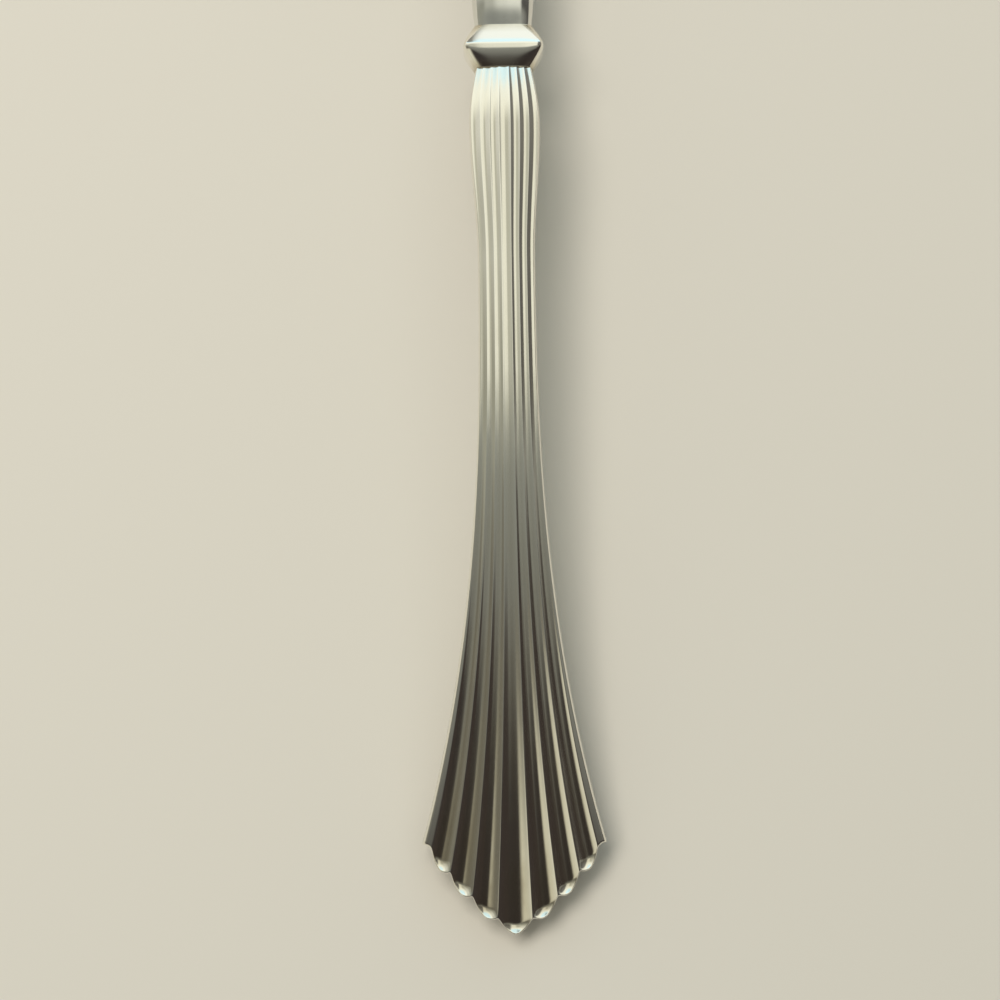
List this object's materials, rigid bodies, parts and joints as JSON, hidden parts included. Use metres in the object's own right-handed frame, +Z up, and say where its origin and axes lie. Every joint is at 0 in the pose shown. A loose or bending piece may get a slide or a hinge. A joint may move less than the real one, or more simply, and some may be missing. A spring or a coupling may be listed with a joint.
{
  "type": "slotted serving spoon",
  "caption": "Slotted serving spoon with an oval pierced bowl, a flattened neck and ring, and a fluted hollow handle that opens into a scalloped fan.",
  "frame": {"origin": "centre of the bounding box, on the table that the spoon lies on", "axes": "+Y from the handle's tip to the bowl's tip, +Z up out of the open bowl, +X to the right"},
  "size_m": [0.0468, 0.2154, 0.0174],
  "materials": {
    "polished_steel": "polished, with fine wear scratches",
    "silver_plate": "polished, with fine wear scratches and darker flutes",
    "cement": "matt"
  },
  "bodies": {
    "root": {"slotted_bowl": "polished_steel", "ring_collar": "silver_plate", "handle_front": "silver_plate", "handle_back": "silver_plate", "handle_cement": "cement"}
  },
  "joints": []
}
